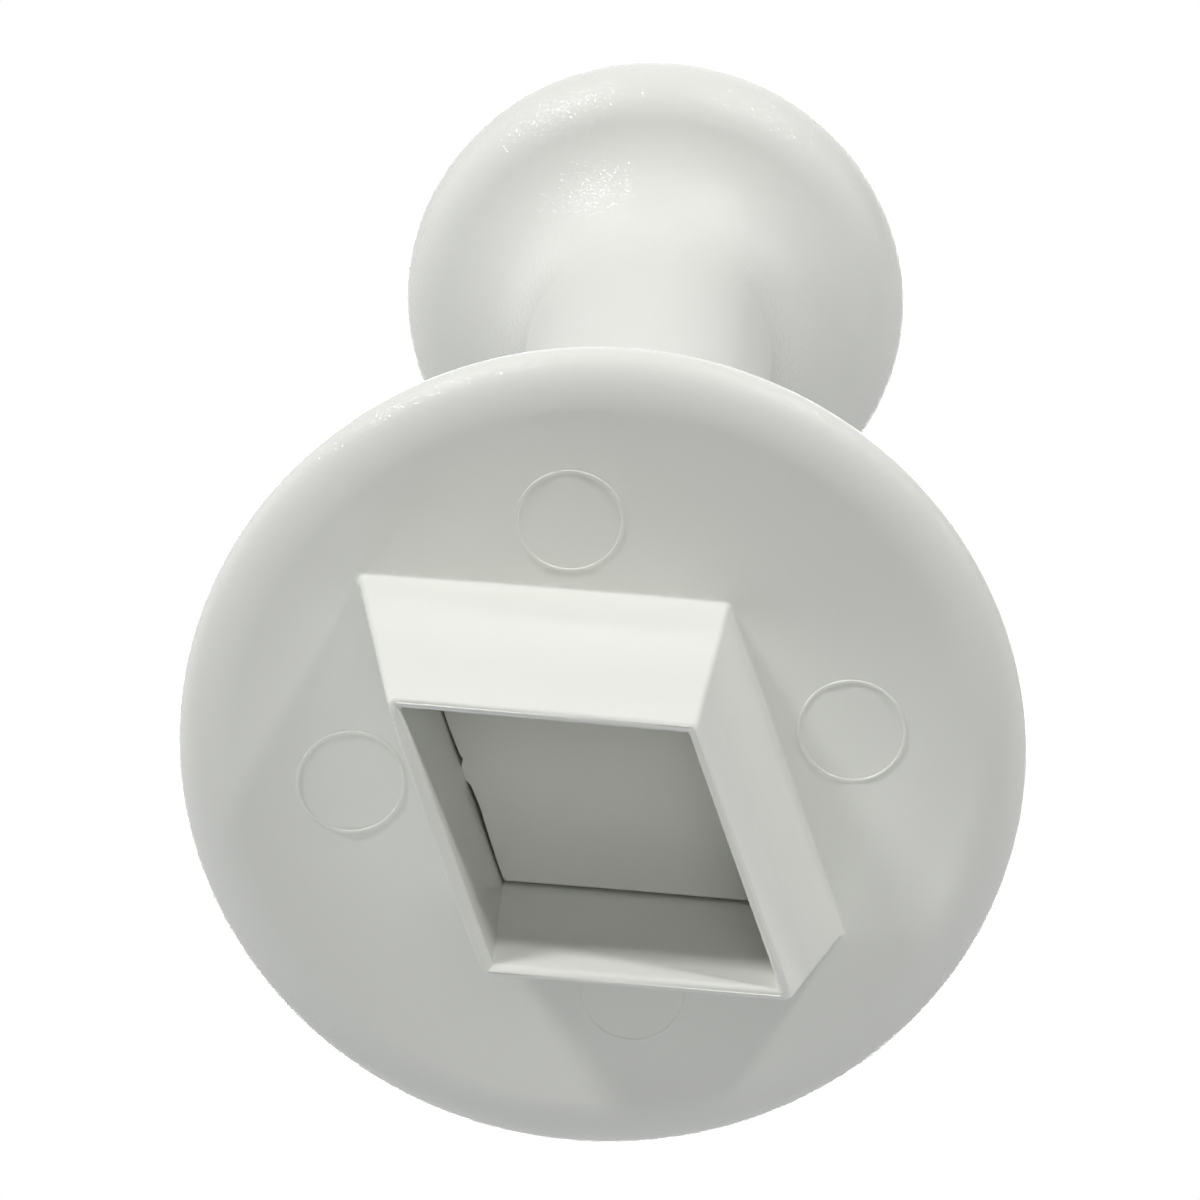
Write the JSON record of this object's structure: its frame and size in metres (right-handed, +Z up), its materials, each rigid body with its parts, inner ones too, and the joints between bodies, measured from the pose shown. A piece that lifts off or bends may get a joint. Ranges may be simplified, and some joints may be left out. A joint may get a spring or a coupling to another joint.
{
  "type": "plunger cutter",
  "caption": "Hand plunger cutter: a round flange with a tapered rhombus cutting wall, and a sprung knob whose stem drives a plate through the wall to push out the cut shape.",
  "frame": {"origin": "centre of the cutting edge, in the plane that the cutter stands on", "axes": "+Z up the plunger's axis to the knob, +X along the long diagonal of the rhombus"},
  "size_m": [0.04, 0.04, 0.0805],
  "materials": {
    "white_plastic": "satin moulded plastic, with a fine spark-eroded grain on the rounded edges",
    "spring_steel": "drawn wire"
  },
  "bodies": {
    "cutter": {"cutter_body": "white_plastic", "return_spring": "spring_steel"},
    "plunger": {"ejector": "white_plastic", "knob": "white_plastic", "knob_cap": "white_plastic"}
  },
  "joints": [
    {"name": "plunger_press", "type": "slide", "parent": "cutter", "child": "plunger", "axis": [0, 0, -1], "range_m": [0, 0.0104], "stiffness_N_per_m": 850, "springref_m": -0.006, "deforming": ["return_spring"]}
  ]
}
